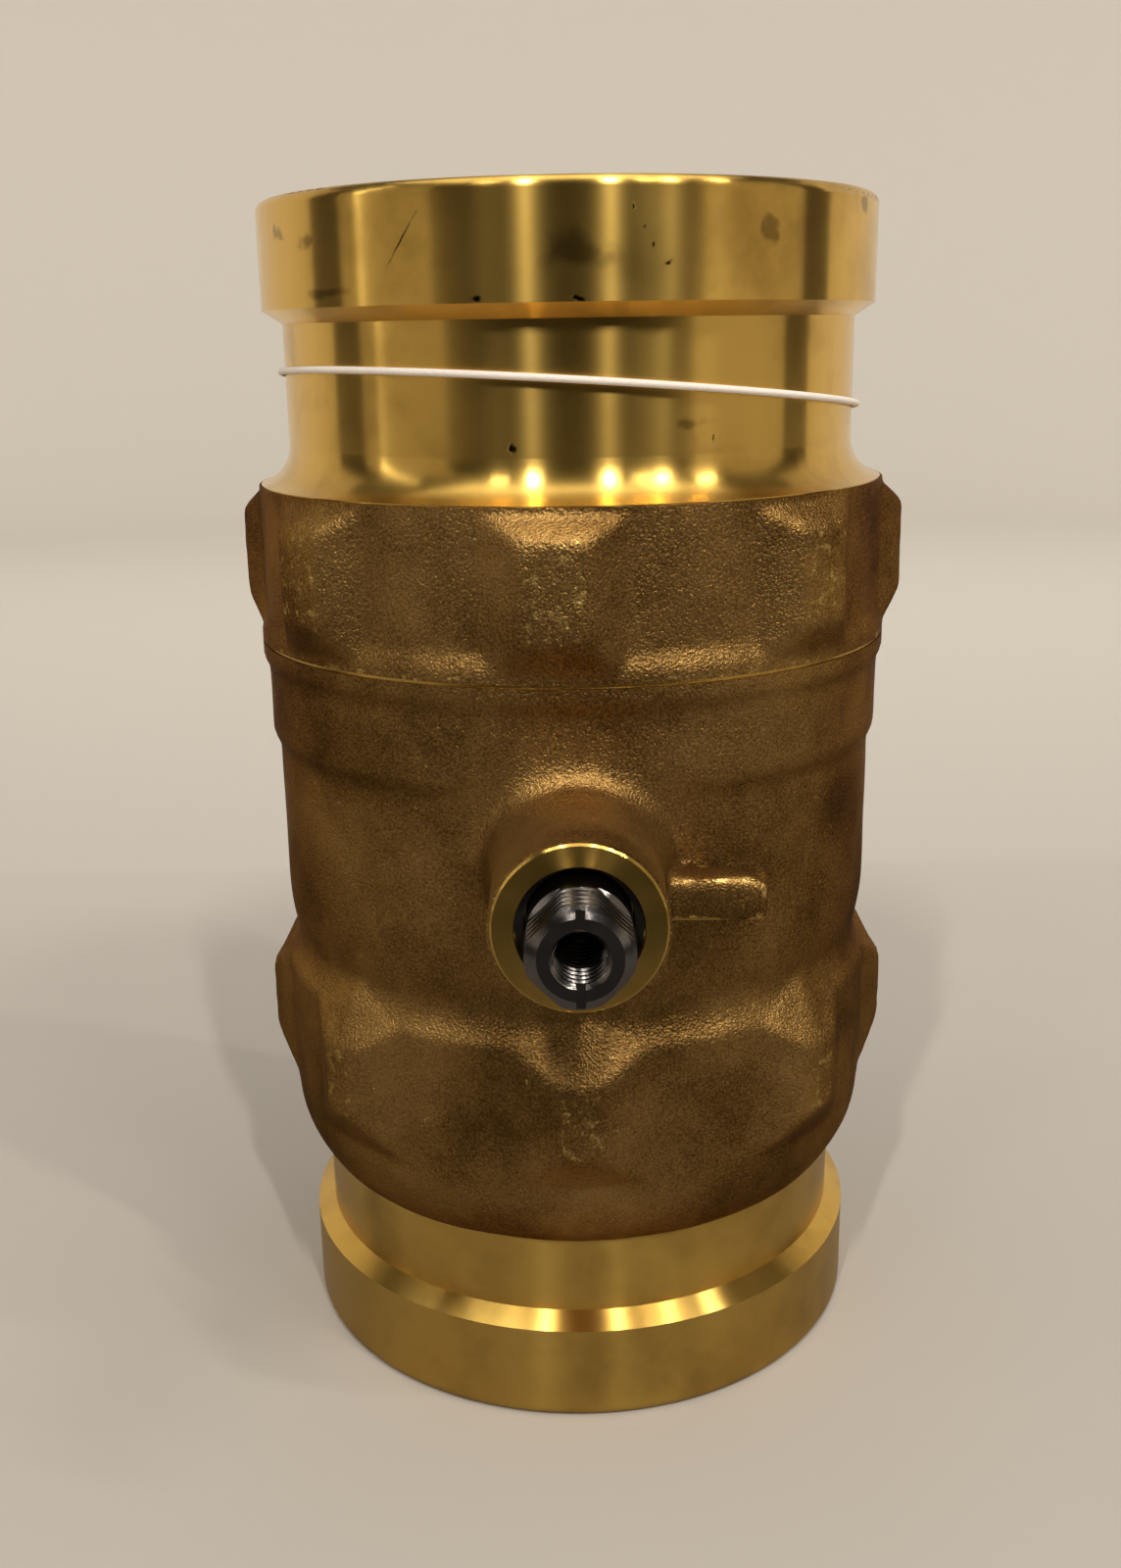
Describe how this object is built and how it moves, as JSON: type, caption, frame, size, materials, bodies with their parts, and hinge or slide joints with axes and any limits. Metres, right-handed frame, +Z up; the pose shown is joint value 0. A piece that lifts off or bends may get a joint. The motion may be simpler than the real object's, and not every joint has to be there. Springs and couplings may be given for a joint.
{
  "type": "press-fit ball valve",
  "caption": "Two-piece bronze ball valve with a press socket for copper tube at each end, rings of wrench lugs and a bare squared quarter-turn stem.",
  "frame": {"origin": "centre of the lower end's mouth, on the pipe axis", "axes": "+Z up along the pipe towards the upper end, -Y out of the stem boss, +X to the stop tab"},
  "size_m": [0.1056, 0.1353, 0.184],
  "materials": {
    "bronze_casting": "sand-cast brown bronze with machined press ends",
    "plated_ball": "polished plated ball",
    "stem_steel": "dark machined steel",
    "grip_steel": "stamped stainless steel",
    "seat_polymer": "pale filled polymer",
    "seal_rubber": "black rubber",
    "separator_plastic": "dark moulded plastic",
    "elastic_cord": "white covered elastic"
  },
  "bodies": {
    "castings": {"valve_body": "bronze_casting", "tailpiece": "bronze_casting", "lower_seat": "seat_polymer", "upper_seat": "seat_polymer", "body_seal": "seal_rubber", "thrust_washer": "seat_polymer", "dust_ring": "seal_rubber", "lower_grip_ring": "grip_steel", "lower_separator_ring": "separator_plastic", "lower_sealing_ring": "seal_rubber", "upper_grip_ring": "grip_steel", "upper_separator_ring": "separator_plastic", "upper_sealing_ring": "seal_rubber", "tag_elastic": "elastic_cord"},
    "stem_and_ball": {"stem": "stem_steel", "ball": "plated_ball", "inner_stem_ring": "seal_rubber", "outer_stem_ring": "seal_rubber"}
  },
  "joints": [
    {"name": "quarter_turn", "type": "hinge", "parent": "castings", "child": "stem_and_ball", "pos_m": [0, -0.06, 0.092], "axis": [0, 1, 0], "range_deg": [0, 90]}
  ]
}
